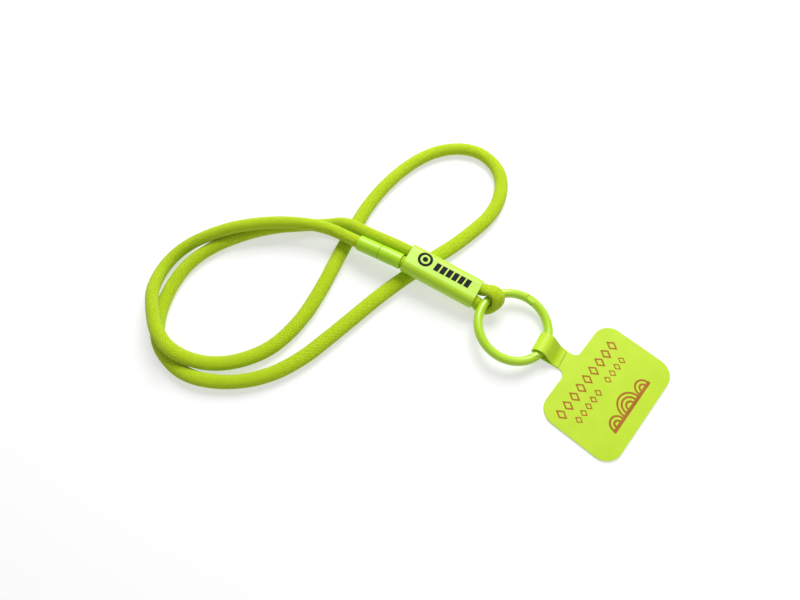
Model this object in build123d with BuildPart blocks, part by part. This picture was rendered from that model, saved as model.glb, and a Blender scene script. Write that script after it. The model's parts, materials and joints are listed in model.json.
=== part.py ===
"""Cord neck lanyard: figure-eight neck cord, breakaway barrel coupling, metal cord sleeve,
spring-gate ring and a folded phone tab.

Millimetres, +Z up. +X runs along the sleeve from the coupling towards the ring. The origin is
the bottom centre of the hardware's box; everything lies on the plane z = 0.
"""
from build123d import *
from math import atan, cos, degrees, radians, sin, tan
import os

os.makedirs("parts", exist_ok=True)

# ---------------------------------------------------------------- driving dimensions
CORD_R = 3.2                      # braided cord
LEG_R = 3.05                      # the same cord squeezed side by side in the sleeve
SLIP = 0.15                       # radial room of the cord in a bore

SLEEVE_LENGTH = 40.0
SLEEVE_WIDTH = 15.8
SLEEVE_HEIGHT = 8.8
SLEEVE_WALL = 0.9
SLEEVE_ROUND = 4.1
SLEEVE_TILT = 5.0                 # degrees, ring end low
SLEEVE_CENTRE = Vector(-37.3, 12.1, 9.8)
LEG_PITCH = 7.0                   # between the two cord legs in the sleeve
CORE_LENGTH = 34.0
CORE_WAIST = 6.0                  # width of the core between the legs
GLUE_GAP = 0.05

SHELL_R = 4.05                    # breakaway coupling
SHELL_BORE_R = CORD_R + SLIP
SHELL_LENGTH = 12.35
COUPLING_NEAR = Vector(-58.5, 8.45, 11.7)
COUPLING_FAR = Vector(-83.3, 8.0, 10.9)
SEAM = 0.05                       # half of the gap between the two shells
INSERT_R = 3.3
SOCKET_BACK = 5.4                 # socket: distances from the seam into the near half
SOCKET_FLOOR = 5.0
SOCKET_FACE = 0.3
THROAT_R = 2.05
GROOVE_R = 2.35
GROOVE_BACK = 4.4
GROOVE_LENGTH = 1.2
BASE_START = 0.4                  # plug: base in the far half, stem and bulb in the near half
BASE_LENGTH = 2.6
STEM_R = 1.7
STEM_TIP = 4.5
BULB_R = 2.0
BULB_BACK = 4.3
BULB_LENGTH = 1.0
SPLIT = 0.6
SPLIT_END = 0.7
CUP_BORE_R = 2.75                 # cups for the cord's ends
CUP_FLOOR = 0.5
NEAR_CUP_BACK = 9.0
NEAR_CUP_LENGTH = 3.4
FAR_CUP_START = 3.2
FAR_CUP_LENGTH = 3.8
END_PLUG_R = 2.7                  # cord end, squeezed into its cup
END_ROOM = 0.06                   # between the squeezed end and the cup's floor

RING_R = 17.9                     # spring-gate ring, to the middle of the wire
WIRE_R = 2.3
RING_CENTRE = Vector(5.7, 6.05, 6.5)
RING_NORMAL = Vector(0.135, 0.06, 1.0)
PIN_ANGLE = 85.0                  # degrees round the ring from its own +X
LATCH_ANGLE = -31.0
BODY_START, BODY_END = 78.0, 342.0  # fixed part, before the hinge and the latch are cut
GATE_START, GATE_END = -52.0, 94.0
BORE_ANGLE = 29.0                 # the spring bore is the chord over this angle
CUT = 10.0                        # size of the blocks that cut the wire right across
PIN_R = 0.65
PIN_RUNNING = 0.05
EAR_R = 2.25
SHOULDER_R = 2.4
EAR_HALF = 1.75
EAR_FLAT = 2.2                    # from the pin to the end of the flats on the ears
SLOT_HALF = 0.8
TONGUE_HALF = 0.7
TONGUE_R = 2.45
TONGUE_FLAT = 1.75
SLOT_R = 2.75
LATCH_GAP = 0.2
BLADE_REACH = 1.2
BLADE_HALF = 0.65
SPRING_BORE_R = 0.85
SPRING_BORE_END = 8.2
PLUNGER_R = 0.8
PLUNGER_LENGTH = 2.4
SPRING_COIL_R = 0.62
SPRING_WIRE_R = 0.13
SPRING_PITCH = 0.55

TAB_WIDTH = 41.0                  # phone tab, across the strap's direction
TAB_LENGTH = 60.0
TAB_THICK = 0.9
TAB_CORNER = 8.7
TAB_TURN = -11.0                  # degrees about +Z
TAB_CENTRE = Vector(59.05, 0.0, 0.0)
STRAP_WIDTH = 10.2
STRAP_TURN = -3.5
STRAP_FILLET = 3.4
FOLD_R = 3.4                      # inside radius of the fold round the ring
FOLD_REACH = 17.35               # from the ring's centre to the fold's axis
BOND_START = 7.6                  # from the fold's axis to where the two layers meet
BOND_END = 10.6
KNEE_R = 5.0                      # where the upper layer bends flat onto the lower one

WRAP_R = 2.6                      # cord flattened round the ring wire
WRAP_CLEAR = 0.3
LEG_END_X = -19.0                 # where the loop leaves the straight legs
MEETING_X = -57.6                 # where the two solids of the one cord meet

# ---------------------------------------------------------------- shared frames
tilt = radians(SLEEVE_TILT)
sleeve_axis = Vector(cos(tilt), 0, -sin(tilt))
sleeve_plane = Plane(origin=SLEEVE_CENTRE, x_dir=(0, 1, 0), z_dir=sleeve_axis)
leg_near_y = SLEEVE_CENTRE.Y - LEG_PITCH / 2
leg_far_y = SLEEVE_CENTRE.Y + LEG_PITCH / 2

coupling_axis = (COUPLING_FAR - COUPLING_NEAR).normalized()
seam_centre = (COUPLING_FAR + COUPLING_NEAR) * 0.5
coupling_plane = Plane(origin=seam_centre, x_dir=(0, 1, 0), z_dir=coupling_axis)

ring_plane = Plane(origin=RING_CENTRE, x_dir=(1, 0, -RING_NORMAL.X), z_dir=RING_NORMAL)
ring_axis = Axis(RING_CENTRE, ring_plane.z_dir)


def leg_point(x, y):
    """A point on a cord leg inside the sleeve."""
    return (x, y, SLEEVE_CENTRE.Z - (x - SLEEVE_CENTRE.X) * tan(tilt))


def along_coupling(distance):
    """A point on the coupling's axis, measured from the seam towards the neck cord."""
    return seam_centre + coupling_axis * distance


def ring_point(angle, radius=RING_R):
    """A point of the ring's plane, by angle and radius."""
    a = radians(angle)
    return ring_plane.from_local_coords(Vector(radius * cos(a), radius * sin(a), 0))


def wire_plane(angle):
    """The plane across the ring wire at an angle."""
    a = radians(angle)
    outward = ring_plane.x_dir * cos(a) + ring_plane.y_dir * sin(a)
    return Plane(origin=ring_point(angle), x_dir=outward, z_dir=ring_plane.z_dir.cross(outward))


pin_centre = ring_point(PIN_ANGLE)
bore_axis = (ring_point(PIN_ANGLE - BORE_ANGLE) - pin_centre).normalized()
pin_plane = Plane(origin=pin_centre, x_dir=bore_axis, z_dir=ring_plane.z_dir)
latch_reach = (ring_point(LATCH_ANGLE) - pin_centre).length
latch_plane = Plane(origin=pin_centre, x_dir=ring_point(LATCH_ANGLE) - pin_centre,
                    z_dir=ring_plane.z_dir)


# ---------------------------------------------------------------- small helpers
def rounded_path(points):
    """Straight runs joined by arcs as large as the runs allow."""
    points = [Vector(*p) for p in points]
    radii = []
    for a, b, c in zip(points, points[1:], points[2:]):
        turn = (b - a).get_angle(c - b)
        shorter = min((b - a).length, (c - b).length)
        radii.append(0.45 * shorter / tan(radians(turn) / 2))
    return FilletPolyline(*points, radius=radii)


def finish(part, name):
    """Label a piece and write it."""
    part.label = name
    export_step(part, f"parts/{name}.step")


# ---------------------------------------------------------------- sleeve and its core
inner_width = SLEEVE_WIDTH - 2 * SLEEVE_WALL
inner_height = SLEEVE_HEIGHT - 2 * SLEEVE_WALL
inner_round = SLEEVE_ROUND - SLEEVE_WALL

with BuildPart() as sleeve:
    with BuildSketch(sleeve_plane):
        RectangleRounded(SLEEVE_WIDTH, SLEEVE_HEIGHT, SLEEVE_ROUND)
        RectangleRounded(inner_width, inner_height, inner_round, mode=Mode.SUBTRACT)
    extrude(amount=SLEEVE_LENGTH / 2, both=True)
    ends = sleeve.faces().sort_by(Axis(SLEEVE_CENTRE, sleeve_axis))
    rims = [ends[0].outer_wire().edges(), ends[-1].outer_wire().edges()]
    chamfer(rims[0] + rims[1], length=0.25)
finish(sleeve.part, "sleeve")

# the core fills the waist between the two round legs and takes the glue
with BuildPart() as sleeve_core:
    with BuildSketch(sleeve_plane):
        Rectangle(CORE_WAIST, inner_height - 2 * GLUE_GAP)
        with Locations((-LEG_PITCH / 2, 0), (LEG_PITCH / 2, 0)):
            Circle(LEG_R + GLUE_GAP, mode=Mode.SUBTRACT)
    extrude(amount=CORE_LENGTH / 2, both=True)
finish(sleeve_core.part, "sleeve_core")


# ---------------------------------------------------------------- breakaway coupling
def disc(start, radius, bore=0.0):
    """A round face across the coupling's axis, start millimetres past the seam."""
    with BuildSketch(coupling_plane.offset(start)) as face:
        Circle(radius)
        if bore:
            Circle(bore, mode=Mode.SUBTRACT)
    return face.sketch


def shell(direction):
    """One shell: a tube with softened rims, on the near (-1) or the far (+1) side of the seam."""
    with BuildPart() as tube:
        extrude(disc(SEAM if direction > 0 else -SEAM - SHELL_LENGTH, SHELL_R, SHELL_BORE_R),
                amount=SHELL_LENGTH)
        rims = tube.edges().filter_by(GeomType.CIRCLE).filter_by(lambda e: e.radius > SHELL_R - 0.01)
        by_side = rims.sort_by(Axis(seam_centre, coupling_axis * direction))
        outer_rim, seam_rim = by_side[-1], by_side[0]
        fillet(outer_rim, radius=0.4)
        chamfer(seam_rim, length=0.2)
    return tube.part


near_shell = shell(-1)
far_shell = shell(1)
finish(near_shell, "coupling_near_shell")
finish(far_shell, "coupling_far_shell")

# socket: a throat with a groove that the plug's bulb snaps into
with BuildPart() as socket:
    extrude(disc(-SOCKET_BACK, INSERT_R), amount=SOCKET_BACK - SOCKET_FACE)
    extrude(disc(-SOCKET_FLOOR, THROAT_R), amount=SOCKET_FLOOR - SOCKET_FACE, mode=Mode.SUBTRACT)
    extrude(disc(-GROOVE_BACK, GROOVE_R), amount=GROOVE_LENGTH, mode=Mode.SUBTRACT)
finish(socket.part, "coupling_socket")

# plug: base, stem and a split bulb
with BuildPart() as plug:
    extrude(disc(BASE_START, INSERT_R), amount=BASE_LENGTH)
    extrude(disc(-STEM_TIP, STEM_R), amount=STEM_TIP + BASE_START)
    extrude(disc(-BULB_BACK, BULB_R), amount=BULB_LENGTH)
    bulb_rims = plug.edges().filter_by(GeomType.CIRCLE).filter_by(
        lambda e: abs(e.radius - BULB_R) < 0.01)
    chamfer(bulb_rims, length=0.2)
    with BuildSketch(coupling_plane.offset(-SPLIT_END)):
        Rectangle(2 * INSERT_R, SPLIT)
        Rectangle(SPLIT, 2 * INSERT_R)
    extrude(amount=-STEM_TIP, mode=Mode.SUBTRACT)
finish(plug.part, "coupling_plug")

# cups: each holds one squeezed cord end against its insert
with BuildPart() as near_cup:
    extrude(disc(-NEAR_CUP_BACK, INSERT_R), amount=NEAR_CUP_LENGTH)
    extrude(disc(-NEAR_CUP_BACK, CUP_BORE_R), amount=NEAR_CUP_LENGTH - CUP_FLOOR,
            mode=Mode.SUBTRACT)
finish(near_cup.part, "near_cord_cup")

with BuildPart() as far_cup:
    extrude(disc(FAR_CUP_START, INSERT_R), amount=FAR_CUP_LENGTH)
    extrude(disc(FAR_CUP_START + CUP_FLOOR, CUP_BORE_R), amount=FAR_CUP_LENGTH - CUP_FLOOR,
            mode=Mode.SUBTRACT)
finish(far_cup.part, "far_cord_cup")

# ---------------------------------------------------------------- spring-gate ring
with BuildPart() as ring_body:
    with BuildSketch(wire_plane(BODY_START)):
        Circle(WIRE_R)
    revolve(axis=ring_axis, revolution_arc=BODY_END - BODY_START)
    # round shoulder for the gate's ears, above and below the tongue
    for side in (1, -1):
        with BuildSketch(pin_plane.offset(side * TONGUE_HALF)):
            Circle(SHOULDER_R)
            with Locations((CUT / 2, 0)):
                Rectangle(CUT, CUT)
        extrude(amount=side * CUT / 2, mode=Mode.SUBTRACT)
    # the tongue's round sides and flat tail
    with BuildSketch(pin_plane.offset(-TONGUE_HALF)):
        with Locations((CUT / 2, 0)):
            Rectangle(CUT, CUT)
        Circle(TONGUE_R, mode=Mode.SUBTRACT)
        with Locations((TONGUE_FLAT + CUT / 2, 0)):
            Rectangle(CUT, CUT)
    extrude(amount=2 * TONGUE_HALF, mode=Mode.SUBTRACT)
    with BuildSketch(pin_plane.offset(-CUT / 2)):
        Circle(PIN_R + PIN_RUNNING)
    extrude(amount=CUT, mode=Mode.SUBTRACT)
    # slanted latch face on a circle about the pin, and the slot for the gate's blade
    for half, reach in ((CUT / 2, latch_reach + LATCH_GAP),
                        (SLOT_HALF, latch_reach + BLADE_REACH + 2 * LATCH_GAP)):
        with BuildSketch(latch_plane.offset(-half)):
            Circle(reach)
            with Locations((latch_reach, 0)):
                Rectangle(RING_R, 2 * CUT, mode=Mode.INTERSECT)
        extrude(amount=2 * half, mode=Mode.SUBTRACT)
finish(ring_body.part, "ring_body")

with BuildPart() as ring_gate:
    with BuildSketch(wire_plane(GATE_START)):
        Circle(WIRE_R)
    revolve(axis=ring_axis, revolution_arc=GATE_END - GATE_START)
    # flats on the ears, and their round end
    for side in (1, -1):
        with BuildSketch(pin_plane.offset(side * EAR_HALF)):
            with Locations((EAR_FLAT - CUT / 2, 0)):
                Rectangle(CUT, CUT)
        extrude(amount=side * CUT / 2, mode=Mode.SUBTRACT)
    with BuildSketch(pin_plane.offset(-CUT / 2)):
        with Locations((-CUT / 2, 0)):
            Rectangle(CUT, CUT)
        Circle(EAR_R, mode=Mode.SUBTRACT)
    extrude(amount=CUT, mode=Mode.SUBTRACT)
    # slot for the tongue
    with BuildSketch(pin_plane.offset(-SLOT_HALF)):
        Circle(SLOT_R)
    extrude(amount=2 * SLOT_HALF, mode=Mode.SUBTRACT)
    with BuildSketch(pin_plane.offset(-CUT / 2)):
        Circle(PIN_R)
    extrude(amount=CUT, mode=Mode.SUBTRACT)
    # spring bore, a chord of the bend
    with BuildSketch(Plane(origin=pin_centre, z_dir=bore_axis)):
        Circle(SPRING_BORE_R)
    extrude(amount=SPRING_BORE_END, mode=Mode.SUBTRACT)
    # latch end: everything past the latch circle goes, but the blade stays a little longer
    for start, height, reach in ((BLADE_HALF, CUT / 2, latch_reach),
                                 (-BLADE_HALF - CUT / 2, CUT / 2, latch_reach),
                                 (-BLADE_HALF, 2 * BLADE_HALF, latch_reach + BLADE_REACH)):
        with BuildSketch(latch_plane.offset(start)):
            with Locations((latch_reach, 0)):
                Rectangle(RING_R, 2 * CUT)
            Circle(reach, mode=Mode.SUBTRACT)
        extrude(amount=height, mode=Mode.SUBTRACT)
finish(ring_gate.part, "ring_gate")

with BuildPart() as gate_pin:
    with BuildSketch(pin_plane.offset(-EAR_HALF)):
        Circle(PIN_R)
    extrude(amount=2 * EAR_HALF)
finish(gate_pin.part, "gate_pin")

plunger_start = TONGUE_FLAT + 0.03
with BuildPart() as gate_plunger:
    with BuildSketch(Plane(origin=pin_centre + bore_axis * plunger_start, z_dir=bore_axis)):
        Circle(PLUNGER_R)
    extrude(amount=PLUNGER_LENGTH)
    nose = gate_plunger.faces().sort_by(Axis(pin_centre, bore_axis))[0]
    fillet(nose.edges(), radius=0.5)
finish(gate_plunger.part, "gate_plunger")

spring_start = plunger_start + PLUNGER_LENGTH + SPRING_WIRE_R + 0.02
spring_length = SPRING_BORE_END - spring_start - SPRING_WIRE_R - 0.02
with BuildPart() as gate_spring:
    with BuildLine() as coil:
        Helix(pitch=SPRING_PITCH, height=spring_length, radius=SPRING_COIL_R,
              center=pin_centre + bore_axis * spring_start, direction=bore_axis)
    with BuildSketch(Plane(origin=coil.wires()[0] @ 0, z_dir=coil.wires()[0] % 0)):
        Circle(SPRING_WIRE_R)
    sweep(path=coil.wires()[0], is_frenet=True)
finish(gate_spring.part, "gate_spring")

# ---------------------------------------------------------------- phone tab
strap_plane = Plane(origin=(RING_CENTRE.X, RING_CENTRE.Y, 0),
                    x_dir=(cos(radians(STRAP_TURN)), sin(radians(STRAP_TURN)), 0), z_dir=(0, 0, 1))
tab_plane = Plane(origin=TAB_CENTRE, x_dir=(cos(radians(TAB_TURN)), sin(radians(TAB_TURN)), 0),
                  z_dir=(0, 0, 1))
fold_plane = Plane(origin=strap_plane.from_local_coords(Vector(FOLD_REACH, 0, TAB_THICK + FOLD_R)),
                   x_dir=strap_plane.x_dir, z_dir=strap_plane.y_dir * -1)
strap_length = strap_plane.to_local_coords(TAB_CENTRE).X - FOLD_REACH

# where the folded layer leaves the round and comes down onto the flat one
leave = 90 - 2 * degrees(atan(FOLD_R / BOND_START))
outer_leave = Vector(cos(radians(leave)), sin(radians(leave))) * (FOLD_R + TAB_THICK)
knee_x = outer_leave.X + (outer_leave.Y + FOLD_R - TAB_THICK) * tan(radians(leave))

with BuildPart() as phone_tab:
    with BuildSketch(tab_plane):
        RectangleRounded(TAB_WIDTH, TAB_LENGTH, TAB_CORNER)
    with BuildSketch(strap_plane):
        with Locations((FOLD_REACH + strap_length / 2, 0)):
            Rectangle(strap_length, STRAP_WIDTH)
    extrude(amount=TAB_THICK)
    root = tab_plane.from_local_coords(Vector(-TAB_WIDTH / 2, 0, TAB_THICK / 2))
    inner_corners = phone_tab.edges().filter_by(Axis.Z).sort_by_distance(root)[:2]
    fillet(inner_corners, radius=STRAP_FILLET)
    with BuildSketch(fold_plane.offset(-STRAP_WIDTH / 2)):
        with BuildLine():
            CenterArc((0, 0), FOLD_R + TAB_THICK, leave, 270 - leave)
            Polyline((0, -FOLD_R - TAB_THICK), (BOND_END, -FOLD_R - TAB_THICK),
                     (BOND_END, -FOLD_R + TAB_THICK))
            FilletPolyline((BOND_END, -FOLD_R + TAB_THICK), (knee_x, -FOLD_R + TAB_THICK),
                           (outer_leave.X, outer_leave.Y), radius=KNEE_R)
        make_face()
        with BuildLine():
            hollow = CenterArc((0, 0), FOLD_R, leave, 270 - leave)
            Polyline((0, -FOLD_R), (BOND_START, -FOLD_R), hollow @ 0)
        make_face(mode=Mode.SUBTRACT)
    extrude(amount=STRAP_WIDTH)
finish(phone_tab.part, "phone_tab")

# ---------------------------------------------------------------- cord
# One cord in the real object: out of the near shell, along the sleeve, round the ring, back along
# the sleeve, round the neck and into the far shell. Its two solids meet face to face.

# near shell and near leg, then under the ring wire, round it and back over it into the far leg
near_route = [along_coupling(-9.05), along_coupling(-12.42), leg_point(LEG_END_X, leg_near_y)]
wrap_route = [leg_point(-21, leg_near_y), (-17, 8.6, 7.9), (-13.4, 8.7, 4.6), (-10.1, 9.5, 4.6),
              (-7.4, 11.0, 6.8), (-6.6, 12.8, 9.7), (-7.9, 14.7, 12.1), (-11.4, 15.6, 12.1),
              (-16.9, 15.6, 8.3), leg_point(-21, leg_far_y)]


def across(path):
    """The plane across the start of a path."""
    return Plane(origin=path @ 0, z_dir=path % 0)


near_path = rounded_path(near_route)
wrap_path = rounded_path(wrap_route)

with BuildPart() as loop_cord:
    with BuildSketch(across(near_path)):
        Circle(LEG_R)
    sweep(path=near_path)
    with BuildSketch(across(wrap_path)):
        Circle(WRAP_R)
    sweep(path=wrap_path)
    with BuildSketch(Plane(origin=leg_point(MEETING_X, leg_far_y), z_dir=sleeve_axis)):
        Circle(LEG_R)
    extrude(amount=(LEG_END_X - MEETING_X) / cos(tilt))
    extrude(disc(-NEAR_CUP_BACK - END_ROOM, END_PLUG_R), amount=NEAR_CUP_LENGTH - CUP_FLOOR)
    # flattened where it bears on the ring wire
    with BuildSketch(wire_plane(110)):
        Circle(WIRE_R + WRAP_CLEAR)
    revolve(axis=ring_axis, revolution_arc=110, mode=Mode.SUBTRACT)
finish(loop_cord.part, "loop_cord")

# the neck cord: out of the far shell, the smaller loop, the neck loop, and back into the sleeve
neck_route = [along_coupling(7.05), (-88.5, 7.92, 10.73), (-100.6, 8.05, 10.6), (-112.5, 5, 10.5),
              (-127.7, -1.9, 10.4), (-143.6, -12.9, 10), (-155.4, -24.2, 8), (-165.1, -36.6, 4.8),
              (-167.5, -50.4, 4), (-162.1, -64.2, 8.5), (-154.2, -72.8, 10.4), (-144.6, -82, 10.4),
              (-132, -86.6, 9.6), (-118.5, -83.6, 3.7), (-105.5, -76, 3.2), (-94, -62.5, 3.2),
              (-89, -45, 3.2), (-88.5, -26, 3.2), (-92, 6, 3.2), (-94.2, 38, 3.2), (-88.5, 66, 3.2),
              (-78, 85.5, 3.2), (-63.3, 95.3, 3.2), (-49.2, 95.3, 3.2), (-36, 85.8, 3.2),
              (-30.5, 65, 3.2), (-38.2, 40, 3.2), (-50.8, 14.2, 3.2), (-61.5, -11, 3.2),
              (-69.5, -36, 3.2), (-79.5, -64, 3.2), (-96.5, -83, 3.2), (-121.5, -93.3, 3.2),
              (-143.5, -87, 3.2), (-153.8, -72.5, 3.2), (-158.7, -52, 3.2), (-156, -34.4, 3.2),
              (-145.5, -17.4, 3.2), (-132.2, -3.6, 3.2), (-119, 5.3, 3.2), (-109, 10.7, 4),
              (-104, 13, 5.2), (-99, 14.9, 7.9), (-92.3, 15.5, 10.3), (-84.5, 15.3, 10.3),
              (-73.5, 15.7, 10.4), (-64.5, 15.9, 11.2), leg_point(-57, leg_far_y)]

neck_path = rounded_path(neck_route)

with BuildPart() as neck_cord:
    with BuildSketch(across(neck_path)):
        Circle(CORD_R)
    sweep(path=neck_path)
    extrude(disc(FAR_CUP_START + CUP_FLOOR + END_ROOM, END_PLUG_R), amount=FAR_CUP_LENGTH - CUP_FLOOR)
    # trimmed flat where it meets the far leg
    with BuildSketch(Plane(origin=leg_point(MEETING_X, leg_far_y), z_dir=sleeve_axis)):
        Circle(CORD_R + 0.2)
    extrude(amount=3, mode=Mode.SUBTRACT)
finish(neck_cord.part, "neck_cord")
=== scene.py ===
"""Looks of a neck lanyard: braided cord, cord sleeve, barrel coupling, spring-gate ring, phone tab.

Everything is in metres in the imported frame; MM turns named millimetre sizes into metres.
"""
import json
import math

import bpy
from mathutils import Matrix, Vector, noise


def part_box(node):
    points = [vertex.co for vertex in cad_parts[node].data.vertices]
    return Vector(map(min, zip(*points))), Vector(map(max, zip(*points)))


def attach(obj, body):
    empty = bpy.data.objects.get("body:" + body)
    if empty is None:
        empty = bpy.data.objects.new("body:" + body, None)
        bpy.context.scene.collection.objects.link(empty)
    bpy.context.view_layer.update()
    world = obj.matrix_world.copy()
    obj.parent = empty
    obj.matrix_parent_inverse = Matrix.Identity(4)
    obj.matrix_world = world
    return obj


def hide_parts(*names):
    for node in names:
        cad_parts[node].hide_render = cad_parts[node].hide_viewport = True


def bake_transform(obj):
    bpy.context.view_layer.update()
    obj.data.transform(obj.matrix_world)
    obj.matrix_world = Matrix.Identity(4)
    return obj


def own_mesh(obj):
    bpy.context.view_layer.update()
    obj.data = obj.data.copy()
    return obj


MM = 0.001

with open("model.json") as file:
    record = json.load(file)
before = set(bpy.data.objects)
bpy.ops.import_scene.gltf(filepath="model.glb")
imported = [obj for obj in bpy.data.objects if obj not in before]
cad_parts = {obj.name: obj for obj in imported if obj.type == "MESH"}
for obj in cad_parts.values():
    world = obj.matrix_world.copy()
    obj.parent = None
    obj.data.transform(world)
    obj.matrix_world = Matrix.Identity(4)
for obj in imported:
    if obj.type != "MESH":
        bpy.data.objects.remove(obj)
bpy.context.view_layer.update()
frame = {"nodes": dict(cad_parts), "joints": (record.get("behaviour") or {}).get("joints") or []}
nodes = frame["nodes"]
joints = {joint["name"]: joint for joint in frame["joints"]}

# ---------------------------------------------------------------- camera
LOOK_AT = Vector((-0.0515, -0.006, 0.0))
AZIMUTH = math.radians(29)
ELEVATION = math.radians(66)
DISTANCE = 0.2987
FOCAL_LENGTH = 26.1

camera_back = Vector((math.sin(AZIMUTH) * math.cos(ELEVATION),
                      -math.cos(AZIMUTH) * math.cos(ELEVATION), math.sin(ELEVATION)))
camera_data = bpy.data.cameras.new("camera")
camera_data.lens = FOCAL_LENGTH
camera_data.clip_start = 0.01
camera = bpy.data.objects.new("camera", camera_data)
camera.location = LOOK_AT + camera_back * DISTANCE
camera.rotation_mode = "QUATERNION"
camera.rotation_quaternion = (-camera_back).to_track_quat("-Z", "Y")
bpy.context.scene.collection.objects.link(camera)
bpy.context.scene.camera = camera

# ---------------------------------------------------------------- cord routes, as the CAD has them
NECK_ROUTE = [
    (-0.07795, 0.0081, 0.01107), (-0.0885, 0.00792, 0.01073), (-0.1006, 0.00805, 0.0106),
    (-0.1125, 0.005, 0.0105), (-0.1277, -0.0019, 0.0104), (-0.1436, -0.0129, 0.01),
    (-0.1554, -0.0242, 0.008), (-0.1651, -0.0366, 0.0048), (-0.1675, -0.0504, 0.004),
    (-0.1621, -0.0642, 0.0085), (-0.1542, -0.0728, 0.0104), (-0.1446, -0.082, 0.0104),
    (-0.132, -0.0866, 0.0096), (-0.1185, -0.0836, 0.0037), (-0.1055, -0.076, 0.0032),
    (-0.094, -0.0625, 0.0032), (-0.089, -0.045, 0.0032), (-0.0885, -0.026, 0.0032),
    (-0.092, 0.006, 0.0032), (-0.0942, 0.038, 0.0032), (-0.0885, 0.066, 0.0032),
    (-0.078, 0.0855, 0.0032), (-0.0633, 0.0953, 0.0032), (-0.0492, 0.0953, 0.0032),
    (-0.036, 0.0858, 0.0032), (-0.0305, 0.065, 0.0032), (-0.0382, 0.04, 0.0032),
    (-0.0508, 0.0142, 0.0032), (-0.0615, -0.011, 0.0032), (-0.0695, -0.036, 0.0032),
    (-0.0795, -0.064, 0.0032), (-0.0965, -0.083, 0.0032), (-0.1215, -0.0933, 0.0032),
    (-0.1435, -0.087, 0.0032), (-0.1538, -0.0725, 0.0032), (-0.1587, -0.052, 0.0032),
    (-0.156, -0.0344, 0.0032), (-0.1455, -0.0174, 0.0032), (-0.1322, -0.0036, 0.0032),
    (-0.119, 0.0053, 0.0032), (-0.109, 0.0107, 0.004), (-0.104, 0.013, 0.0052),
    (-0.099, 0.0149, 0.0079), (-0.0923, 0.0155, 0.0103), (-0.0845, 0.0153, 0.0103),
    (-0.0735, 0.0157, 0.0104), (-0.0645, 0.0159, 0.0112), (-0.057, 0.0156, 0.01152)]
LOOP_ROUTE = [
    (-0.06186, 0.00839, 0.01159), (-0.0585, 0.00845, 0.0117), (-0.045, 0.0086, 0.01047),
    (-0.021, 0.0086, 0.00837), (-0.017, 0.0086, 0.0079), (-0.0134, 0.0087, 0.0046),
    (-0.0101, 0.0095, 0.0046), (-0.0074, 0.011, 0.0068), (-0.0066, 0.0128, 0.0097),
    (-0.0079, 0.0147, 0.0121), (-0.0114, 0.0156, 0.0121), (-0.0169, 0.0156, 0.0083),
    (-0.021, 0.0156, 0.00837), (-0.040, 0.0156, 0.01004), (-0.0576, 0.0156, 0.01158)]
POINTS_PER_SPAN = 18


def spline_points(route):
    """The points of the smooth line that a route controls."""
    curve = bpy.data.curves.new("route", "CURVE")
    curve.dimensions = "3D"
    spline = curve.splines.new("NURBS")
    spline.points.add(len(route) - 1)
    for point, place in zip(spline.points, route):
        point.co = (*place, 1)
    spline.order_u = 3
    spline.use_endpoint_u = True
    spline.resolution_u = POINTS_PER_SPAN
    holder = bpy.data.objects.new("route", curve)
    bpy.context.scene.collection.objects.link(holder)
    bpy.context.view_layer.update()
    mesh = bpy.data.meshes.new_from_object(holder)
    points = [vertex.co.copy() for vertex in mesh.vertices]
    bpy.data.objects.remove(holder)
    bpy.data.curves.remove(curve)
    bpy.data.meshes.remove(mesh)
    return points


# ---------------------------------------------------------------- node helpers
def new_material(name, **values):
    """A material and its shader, with constant values set on the shader's own sockets."""
    material = bpy.data.materials.new(name)
    material.use_nodes = True
    shader = material.node_tree.nodes["Principled BSDF"]
    for socket, value in values.items():
        shader.inputs[socket.replace("_", " ")].default_value = value
    return material, material.node_tree, shader


def add(tree, kind, **values):
    """A node of a kind; values are its properties."""
    made = tree.nodes.new(kind)
    for key, value in values.items():
        setattr(made, key, value)
    return made


def math_node(tree, operation, first, second=None):
    """A math node; its inputs are sockets or numbers."""
    made = add(tree, "ShaderNodeMath", operation=operation)
    for socket, value in zip(made.inputs, (first, second)):
        if isinstance(value, bpy.types.NodeSocket):
            tree.links.new(value, socket)
        elif value is not None:
            socket.default_value = value
    return made.outputs[0]


def mix_number(tree, factor, first, second):
    """first where factor is 0, second where it is 1."""
    made = add(tree, "ShaderNodeMix", data_type="FLOAT")
    for socket, value in zip(made.inputs[:4], (factor, None, first, second)):
        if value is not None:
            tree.links.new(value, socket)
    return made.outputs[0]


def noise_node(tree, scale, detail=3.0, vector=None):
    """Noise over the object's own coordinates, or over a given vector."""
    made = add(tree, "ShaderNodeTexNoise")
    made.inputs["Scale"].default_value = scale
    made.inputs["Detail"].default_value = detail
    if vector is None:
        vector = add(tree, "ShaderNodeTexCoord").outputs["Object"]
    tree.links.new(vector, made.inputs["Vector"])
    return made.outputs["Fac"]


def ramp(tree, factor, *stops):
    """A colour ramp through (position, colour) stops."""
    made = add(tree, "ShaderNodeValToRGB")
    elements = made.color_ramp.elements
    while len(elements) < len(stops):
        elements.new(0.5)
    for element, (position, colour) in zip(elements, stops):
        element.position = position
        element.color = (*colour, 1)
    tree.links.new(factor, made.inputs["Fac"])
    return made.outputs["Color"]


def bump(tree, shader, height, depth, strength=1.0):
    """Relief of a depth in metres."""
    made = add(tree, "ShaderNodeBump")
    made.inputs["Distance"].default_value = depth
    made.inputs["Strength"].default_value = strength
    tree.links.new(height, made.inputs["Height"])
    tree.links.new(made.outputs["Normal"], shader.inputs["Normal"])


# ---------------------------------------------------------------- materials
BRAID_MAP = "braid"
BRAID_DEPTH = 0.22 * MM
CROSSING_DIP = 0.4                # how far a bundle sinks where the other family crosses it
FIBRE_ACROSS, FIBRE_ALONG = 9, 0.8
FIBRE_RELIEF = 0.35               # beside a bundle's own height of 1
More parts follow.
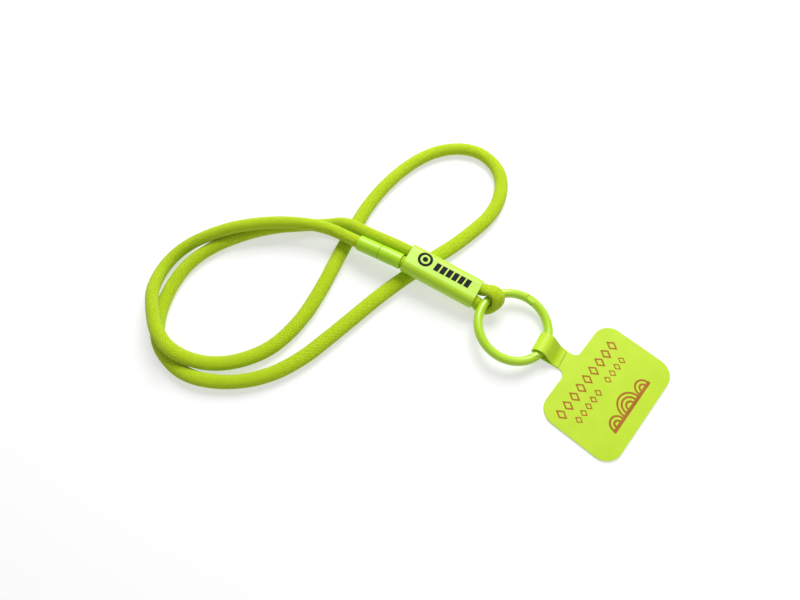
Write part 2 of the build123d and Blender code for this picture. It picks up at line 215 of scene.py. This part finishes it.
# painted shade and highlight: by the relief height, the colour darkens in the grooves between bundles
# and lightens on the bundles' tops; the bundle share is a random tone of each bundle
PAINTED_SHADE_BY_HEIGHT, TINT_BY_BUNDLE = 0.6, 0.13
ABOVE_ZERO = 4000.0               # even, so that it keeps which family is on top


def braided_cord():
    """Two families of round yarn bundles that cross over and under, with fibres along each bundle;
    the colour carries painted shade in the grooves and a painted highlight on the bundle tops.
    """
    material, tree, shader = new_material("braided_cord", Roughness=0.8, Sheen_Weight=0.1,
                                          Sheen_Roughness=0.5, Specular_IOR_Level=0.15)
    uv = add(tree, "ShaderNodeUVMap", uv_map=BRAID_MAP)
    parts = add(tree, "ShaderNodeSeparateXYZ")
    tree.links.new(uv.outputs["UV"], parts.inputs[0])
    rounds, cells, fibres = [], [], []
    for family in (0, 1):
        place = parts.outputs[family]
        inside = math_node(tree, "FRACT", place)
        rounds.append(math_node(tree, "MULTIPLY", math_node(tree, "MULTIPLY", inside, 4.0),
                                math_node(tree, "SUBTRACT", 1.0, inside)))
        cells.append(math_node(tree, "FLOOR", place))
        stretch = add(tree, "ShaderNodeMapping")
        across_and_along = (FIBRE_ACROSS, FIBRE_ALONG) if family == 0 else (FIBRE_ALONG, FIBRE_ACROSS)
        stretch.inputs["Scale"].default_value = (*across_and_along, 1)
        tree.links.new(uv.outputs["UV"], stretch.inputs["Vector"])
        fibres.append(noise_node(tree, 1.0, 2.0, stretch.outputs["Vector"]))
    cell_sum = math_node(tree, "ADD", cells[0], cells[1])
    over = math_node(tree, "MODULO", math_node(tree, "ADD", cell_sum, ABOVE_ZERO), 2.0)
    bundle = mix_number(tree, over, rounds[0], rounds[1])
    crossing = mix_number(tree, over, rounds[1], rounds[0])
    sink = math_node(tree, "ADD", math_node(tree, "MULTIPLY", crossing, CROSSING_DIP),
                     1 - CROSSING_DIP)
    dome = math_node(tree, "MULTIPLY", bundle, sink)
    fibre = mix_number(tree, over, fibres[0], fibres[1])
    height = math_node(tree, "ADD", dome, math_node(tree, "MULTIPLY", fibre, FIBRE_RELIEF))
    bump(tree, shader, height, BRAID_DEPTH)
    place = add(tree, "ShaderNodeCombineXYZ")
    tree.links.new(cells[0], place.inputs["X"])
    tree.links.new(cells[1], place.inputs["Y"])
    grain = add(tree, "ShaderNodeTexWhiteNoise", noise_dimensions="2D")
    tree.links.new(place.outputs["Vector"], grain.inputs["Vector"])
    # colour from the relief height is painted shade in the grooves and a painted highlight on the
    # tops; the white noise adds a random tone to each bundle
    shade_and_tone = math_node(tree, "ADD", math_node(tree, "MULTIPLY", height, PAINTED_SHADE_BY_HEIGHT),
                     math_node(tree, "MULTIPLY", grain.outputs["Value"], TINT_BY_BUNDLE))
    colour = ramp(tree, shade_and_tone, (0.15, (0.16, 0.29, 0.001)), (0.45, (0.44, 0.65, 0.005)),
                  (0.85, (0.68, 0.86, 0.02)))
    tree.links.new(colour, shader.inputs["Base Color"])
    return material


DRIFT_SCALE = 90                  # slow change of colour over a coated surface
RELIEF_STRENGTH = 0.6


def painted(name, dark, light, grain, depth, **values):
    """A coated surface: slow colour drift, and a fine even relief."""
    material, tree, shader = new_material(name, **values)
    tree.links.new(ramp(tree, noise_node(tree, DRIFT_SCALE, 2.0), (0.3, dark), (0.7, light)),
                   shader.inputs["Base Color"])
    bump(tree, shader, noise_node(tree, grain, 4.0), depth, RELIEF_STRENGTH)
    return material


LIME_DARK = (0.40, 0.66, 0.010)
LIME_LIGHT = (0.45, 0.71, 0.018)

cord_look = braided_cord()
sleeve_look = painted("sleeve_coat", LIME_DARK, LIME_LIGHT, 1100, 0.07 * MM,
                      Roughness=0.42, Coat_Weight=0.15, Coat_Roughness=0.3)
ring_look = painted("ring_coat", LIME_DARK, LIME_LIGHT, 1500, 0.012 * MM,
                    Roughness=0.3, Coat_Weight=0.4, Coat_Roughness=0.15)
shell_look = painted("shell_plastic", (0.36, 0.66, 0.006), (0.41, 0.70, 0.010), 900, 0.01 * MM,
                     Roughness=0.34)
film_look = painted("tab_film", (0.47, 0.68, 0.008), (0.51, 0.72, 0.014), 5200, 0.02 * MM,
                    Roughness=0.55)
insert_look = painted("natural_plastic", (0.78, 0.78, 0.74), (0.84, 0.84, 0.80), 900, 0.01 * MM,
                      Roughness=0.5)
steel_look = painted("bright_steel", (0.55, 0.55, 0.56), (0.65, 0.65, 0.66), 3000, 0.004 * MM,
                     Roughness=0.28, Metallic=1.0)
black_ink = painted("black_ink", (0.006, 0.006, 0.006), (0.014, 0.014, 0.013), 4000, 0.004 * MM,
                    Roughness=0.7, Specular_IOR_Level=0.15)
brown_ink = painted("brown_ink", (0.36, 0.13, 0.02), (0.43, 0.17, 0.03), 4000, 0.004 * MM,
                    Roughness=0.7, Specular_IOR_Level=0.15)


def paint(obj, material):
    """Gives a mesh one material."""
    obj.data.materials.clear()
    obj.data.materials.append(material)


LOOKS = {"sleeve": sleeve_look, "ring_body": ring_look, "ring_gate": ring_look,
         "coupling_near_shell": shell_look, "coupling_far_shell": shell_look,
         "sleeve_core": insert_look, "coupling_socket": insert_look, "coupling_plug": insert_look,
         "near_cord_cup": insert_look, "far_cord_cup": insert_look, "gate_pin": ring_look,
         "gate_spring": steel_look, "gate_plunger": steel_look}
for node_name, look in LOOKS.items():
    paint(nodes[node_name], look)


# ---------------------------------------------------------------- cord tubes
AROUND = 40
YARNS = 24                        # bundles of each family round the cord
YARN_RISE = 1.2 * MM              # along the cord, per bundle
SWELL = 0.025                     # share by which the cord's thickness wanders
SWELL_LENGTH = 7 * MM
SWELL_AROUND = 1.5                # how much the swell changes round the cord


def mesh_object(name, vertices, faces, material):
    """A smooth mesh object."""
    mesh = bpy.data.meshes.new(name)
    mesh.from_pydata([tuple(v) for v in vertices], [], faces)
    mesh.polygons.foreach_set("use_smooth", [True] * len(mesh.polygons))
    mesh.materials.append(material)
    made = bpy.data.objects.new(name, mesh)
    bpy.context.scene.collection.objects.link(made)
    return made


def cord_tube(name, path, section):
    """A braided tube along a path; section(point, distance, length) gives the centre, its up
    direction, and the half width and half height there."""
    distances = [0.0]
    for a, b in zip(path, path[1:]):
        distances.append(distances[-1] + (b - a).length)
    vertices = []
    for i, (point, distance) in enumerate(zip(path, distances)):
        forward = (path[min(i + 1, len(path) - 1)] - path[max(i - 1, 0)]).normalized()
        centre, up, half_width, half_height = section(point, distance, distances[-1])
        side = forward.cross(up).normalized()
        up = side.cross(forward)
        for k in range(AROUND):
            turn = 2 * math.pi * k / AROUND
            swell = 1 + SWELL * noise.noise(Vector((
                distance / SWELL_LENGTH, SWELL_AROUND * math.cos(turn),
                SWELL_AROUND * math.sin(turn))))
            vertices.append(centre + swell * (side * (half_width * math.cos(turn))
                                              + up * (half_height * math.sin(turn))))
    rings = len(path)
    faces = [(i * AROUND + k, i * AROUND + (k + 1) % AROUND, (i + 1) * AROUND + (k + 1) % AROUND,
              (i + 1) * AROUND + k) for i in range(rings - 1) for k in range(AROUND)]
    faces.append(tuple(reversed(range(AROUND))))
    faces.append(tuple(range((rings - 1) * AROUND, rings * AROUND)))
    made = mesh_object(name, vertices, faces, cord_look)
    uv = made.data.uv_layers.new(name=BRAID_MAP)
    for index in range((rings - 1) * AROUND):
        i, k = divmod(index, AROUND)
        corners = ((i, k), (i, k + 1), (i + 1, k + 1), (i + 1, k))
        for loop, (ring, step) in zip(made.data.polygons[index].loop_indices, corners):
            round_cord = YARNS * step / AROUND
            along = distances[ring] / YARN_RISE
            uv.data[loop].uv = (round_cord + along, round_cord - along)
    return made


def smooth(low, high, value):
    """0 below low, 1 above high, smooth between."""
    t = max(0.0, min(1.0, (value - low) / (high - low)))
    return t * t * (3 - 2 * t)


# ---------------------------------------------------------------- neck cord
CORD_DIAMETER = 0.0064
CORD_HALF = CORD_DIAMETER / 2
# half width of the soft cord at millimetres from the coupling: round at both ends, flatter between
HALF_WIDTHS = ((0, 3.2), (20, 3.2), (60, 3.3), (100, 3.15), (135, 3.15), (175, 3.5), (215, 3.75),
               (285, 3.85), (340, 3.5), (390, 3.45), (430, 3.7), (480, 3.9), (560, 3.85),
               (610, 3.5), (660, 3.4), (720, 3.3), (760, 3.2), (830, 3.15))


def half_width(distance):
    """The half width at a distance in metres."""
    along = distance / MM
    for (start, first), (end, second) in zip(HALF_WIDTHS, HALF_WIDTHS[1:]):
        if along <= end:
            return (first + (second - first) * smooth(start, end, along)) * MM
    return HALF_WIDTHS[-1][1] * MM


def neck_section(point, distance, _length):
    """The wider the cord lies, the lower it is; its own length makes no difference."""
    width = half_width(distance)
    return point, Vector((0, 0, 1)), width, min(CORD_HALF, CORD_HALF ** 2 / width)


neck_path = spline_points(NECK_ROUTE)
neck = cord_tube("neck_cord_braid", neck_path, neck_section)
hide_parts("neck_cord")
# the cord's end sits in the far coupling half; weights that fall from 1 to 0 over the cord's first
# stretch are worked out along the cord, since a straight line across would also catch the other leg,
# and nothing here applies them
GIVE_START, GIVE_END = 12 * MM, 110 * MM
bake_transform(neck)
walked, give = 0.0, []
for a, b in zip(neck_path, neck_path[1:] + neck_path[-1:]):
    give += [1 - smooth(GIVE_START, GIVE_END, walked)] * AROUND
    walked += (b - a).length

# ---------------------------------------------------------------- cord round the ring
WIRE_RADIUS = 2.3 * MM
WRAP_HALF_WIDTH = 3.7 * MM        # pressed flat on the wire
WRAP_HALF_HEIGHT = 2.1 * MM
LEG_HALF_WIDTH = 3.2 * MM         # squeezed side by side in the sleeve
LEG_HALF_HEIGHT = 3.25 * MM
WIRE_ROOM = 0.2 * MM
CORD_ON_WIRE = WIRE_RADIUS + WRAP_HALF_HEIGHT + WIRE_ROOM
TURN_START, TURN_END = 0.5 * MM, 5 * MM   # past the sleeve's end, where the cord flattens


def circle_through(a, b, c):
    """Centre and radius of the circle through three points."""
    u, v = b - a, c - a
    w = u.cross(v)
    towards_centre = u.length_squared * v.cross(w) + v.length_squared * w.cross(u)
    centre = a + towards_centre / (2 * w.length_squared)
    return centre, (centre - a).length


ring_normal = -Vector(joints["gate_hinge"]["axis"]).normalized()
ring_centre, ring_radius = circle_through(*[Vector(joints[name]["pos_m"])
                                            for name in ("ring_swing", "gate_hinge", "tab_flap")])
sleeve_low, sleeve_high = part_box("sleeve")


def nearest_wire(point):
    """The nearest point of the ring wire's centreline."""
    flat = point - ring_centre
    flat -= ring_normal * flat.dot(ring_normal)
    return ring_centre + flat.normalized() * ring_radius


def loop_section(point, distance, length):
    """Legs squeezed in the sleeve, and the cord flattened where it turns round the wire."""
    wire = nearest_wire(point)
    outward = point - wire
    upright = Vector((0, 0, -1 if distance < length / 2 else 1))
    turn = smooth(sleeve_high.x + TURN_START, sleeve_high.x + TURN_END, point.x)
    up = upright.lerp(outward.normalized(), turn)
    push = max(0.0, CORD_ON_WIRE - outward.length) * turn
    width = LEG_HALF_WIDTH + turn * (WRAP_HALF_WIDTH - LEG_HALF_WIDTH)
    height = LEG_HALF_HEIGHT + turn * (WRAP_HALF_HEIGHT - LEG_HALF_HEIGHT)
    return point + outward.normalized() * push, up, width, height


loop = cord_tube("loop_cord_braid", spline_points(LOOP_ROUTE), loop_section)
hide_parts("loop_cord")
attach(loop, "sleeve")


# ---------------------------------------------------------------- phone tab
def softened_copy(name, node_name, material, edge):
    """A copy of a CAD node with rounded edges."""
    made = bpy.data.objects.new(name, nodes[node_name].data.copy())
    bpy.context.scene.collection.objects.link(made)
    paint(made, material)
    rounding = made.modifiers.new("edges", "BEVEL")
    rounding.width = edge
    rounding.segments = 3
    rounding.angle_limit = math.radians(35)
    rounding.use_clamp_overlap = True
    made.modifiers.new("normals", "WEIGHTED_NORMAL")
    return made


FILM_EDGE = 0.2 * MM
tab = softened_copy("phone_tab_film", "phone_tab", film_look, FILM_EDGE)
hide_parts("phone_tab")
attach(tab, "tab")


# ---------------------------------------------------------------- gate spring
spring = bpy.data.objects.new("gate_spring_coil", nodes["gate_spring"].data.copy())
bpy.context.scene.collection.objects.link(spring)
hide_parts("gate_spring")
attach(spring, "gate")
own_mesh(spring)

# ---------------------------------------------------------------- prints
INK = 0.02 * MM


def annulus(x, y, inner, outer, start=0.0, turn=360.0, steps=48):
    """Grid of points of a ring or of part of one."""
    return [[(x + r * math.cos(math.radians(start + turn * i / steps)),
              y + r * math.sin(math.radians(start + turn * i / steps)))
             for r in (inner, (inner + outer) / 2, outer)] for i in range(steps + 1)]


def bar(x, y, width, height, lean=0.0, steps=6):
    """Grid of points of an upright bar with a lean."""
    return [[(x + width * (i / steps - 0.5) + lean * height * (j / steps - 0.5),
              y + height * (j / steps - 0.5)) for j in range(steps + 1)] for i in range(steps + 1)]


def lozenge(x, y, width, height, stroke):
    """Grid of points of a lozenge's outline."""
    corners = ((1, 0), (0, 1), (-1, 0), (0, -1), (1, 0))
    shrink = stroke / min(width, height)
    return [[(x + width / 2 * a * k, y + height / 2 * b * k) for k in (1 - 2 * shrink, 1)]
            for a, b in corners]


def print_on(name, grids, surface, material, body):
    """Ink patches on a surface; surface(x, y) gives the point in the frame for millimetres."""
    vertices, faces = [], []
    for grid in grids:
        start, columns = len(vertices), len(grid[0])
        vertices += [surface(*point) for row in grid for point in row]
        for i in range(len(grid) - 1):
            for j in range(columns - 1):
                corner = start + i * columns + j
                faces.append((corner, corner + columns, corner + columns + 1, corner + 1))
    made = mesh_object(name, vertices, faces, material)
    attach(made, body)
    return made


# the sleeve's mark: a plain ring with a dot and a row of plain blocks
SLEEVE_TILT = math.radians(5)
SLEEVE_HALF_HEIGHT = 4.4
SLEEVE_ROUND = 4.1
SLEEVE_FLAT = 3.8                 # half of the flat on top
sleeve_centre = (sleeve_low + sleeve_high) / 2


def sleeve_top(x, y):
    """A point on the sleeve's top, millimetres along and across it from its middle."""
    past = max(0.0, abs(y) - SLEEVE_FLAT)
    drop = SLEEVE_ROUND - math.sqrt(SLEEVE_ROUND ** 2 - past ** 2)
    along = Vector((math.cos(SLEEVE_TILT), 0, -math.sin(SLEEVE_TILT)))
    upward = Vector((math.sin(SLEEVE_TILT), 0, math.cos(SLEEVE_TILT)))
    return (sleeve_centre + along * x * MM + Vector((0, y * MM, 0))
            + upward * ((SLEEVE_HALF_HEIGHT - drop) * MM + INK))


MARK_X, MARK_Y = -11.0, 1.7
MARK_RING = (2.5, 3.9)            # inner and outer radius
MARK_DOT = (0.0, 1.4)
BLOCKS = 6
BLOCK_START, BLOCK_STEP, BLOCK_Y = -3.7, 3.4, 0.95
BLOCK_SHAPE = (2.6, 4.6, 0.1)     # width, height, lean
sleeve_mark = [annulus(MARK_X, MARK_Y, *MARK_RING), annulus(MARK_X, MARK_Y, *MARK_DOT)]
sleeve_mark += [bar(BLOCK_START + BLOCK_STEP * i, BLOCK_Y, *BLOCK_SHAPE) for i in range(BLOCKS)]
print_on("sleeve_print", sleeve_mark, sleeve_top, black_ink, "sleeve")

# the tab's print: two rows of lozenges, and three fans of arcs on a bar
TAB_TURN = math.radians(-11)
TAB_CENTRE = Vector((0.05905, 0.0, 0.0009))


def tab_top(x, y):
    """A point on the tab's top, millimetres across and along it from its middle."""
    return (TAB_CENTRE + Matrix.Rotation(TAB_TURN, 3, "Z") @ Vector((x * MM, y * MM, 0))
            + Vector((0, 0, INK)))


LARGE_X, LARGE_START, LARGE_STEP, LARGE_COUNT = -10.7, -23.6, 5.6, 9
LARGE_SHAPE = (6.6, 4.6, 0.95)    # width, height, stroke
SMALL_X, SMALL_START, SMALL_STEP, SMALL_COUNT = -3.0, -20.5, 4.25, 10
SMALL_SHAPE = (4.4, 3.4, 0.7)
SMALL_GAP = 5                     # place left empty in the row of small lozenges
FAN_X, FAN_STROKE, FAN_STEPS = 12.1, 1.0, 32
FANS = ((1.0, (1.6, 3.7, 5.8)), (-10.4, (1.2, 3.3)), (12.4, (1.2, 3.3)))   # place, inner radii
FAN_BAR = (12.9, 1.0, 1.6, 32.0)  # place across and along, width, length
tab_mark = [lozenge(LARGE_X, LARGE_START + LARGE_STEP * i, *LARGE_SHAPE)
            for i in range(LARGE_COUNT)]
tab_mark += [lozenge(SMALL_X, SMALL_START + SMALL_STEP * i, *SMALL_SHAPE)
             for i in range(SMALL_COUNT) if i != SMALL_GAP]
tab_mark += [annulus(FAN_X, y, radius, radius + FAN_STROKE, 90, 180, FAN_STEPS)
             for y, radii in FANS for radius in radii]
tab_mark += [bar(*FAN_BAR)]
print_on("tab_print", tab_mark, tab_top, brown_ink, "tab")

# ---------------------------------------------------------------- floor and light
FLOOR_SIZE = 6
FLOOR_GREY = 0.5
FLOOR_GLOW = 0.5                  # light of the floor's own, which keeps the shadows on it pale
SKY_STRENGTH = 0.36

bpy.ops.mesh.primitive_plane_add(size=FLOOR_SIZE)
floor = bpy.context.object
floor.name = "floor"
floor_look, _, floor_shader = new_material(
    "floor_card", Roughness=0.9, Specular_IOR_Level=0.1, Emission_Strength=FLOOR_GLOW)
floor_shader.inputs["Base Color"].default_value = (FLOOR_GREY, FLOOR_GREY, FLOOR_GREY, 1)
floor_shader.inputs["Emission Color"].default_value = (1, 1, 1, 1)
floor.data.materials.append(floor_look)

world = bpy.data.worlds.new("studio")
world.use_nodes = True
world.node_tree.nodes["Background"].inputs["Color"].default_value = (1, 1, 1, 1)
world.node_tree.nodes["Background"].inputs["Strength"].default_value = SKY_STRENGTH
bpy.context.scene.world = world
bpy.context.scene.view_settings.view_transform = "Standard"


def soft_light(name, azimuth, elevation, distance, size, power):
    """A square soft light that looks at the object from an azimuth and an elevation."""
    light = bpy.data.lights.new(name, "AREA")
    light.size = size
    light.energy = power
    holder = bpy.data.objects.new(name, light)
    a, e = math.radians(azimuth), math.radians(elevation)
    towards = Vector((math.sin(a) * math.cos(e), -math.cos(a) * math.cos(e), math.sin(e)))
    holder.location = LOOK_AT + towards * distance
    holder.rotation_mode = "QUATERNION"
    holder.rotation_quaternion = (-towards).to_track_quat("-Z", "Y")
    bpy.context.scene.collection.objects.link(holder)


soft_light("key", azimuth=196, elevation=48, distance=0.7, size=0.45, power=6.0)
soft_light("fill", azimuth=60, elevation=60, distance=1.0, size=0.8, power=0.8)
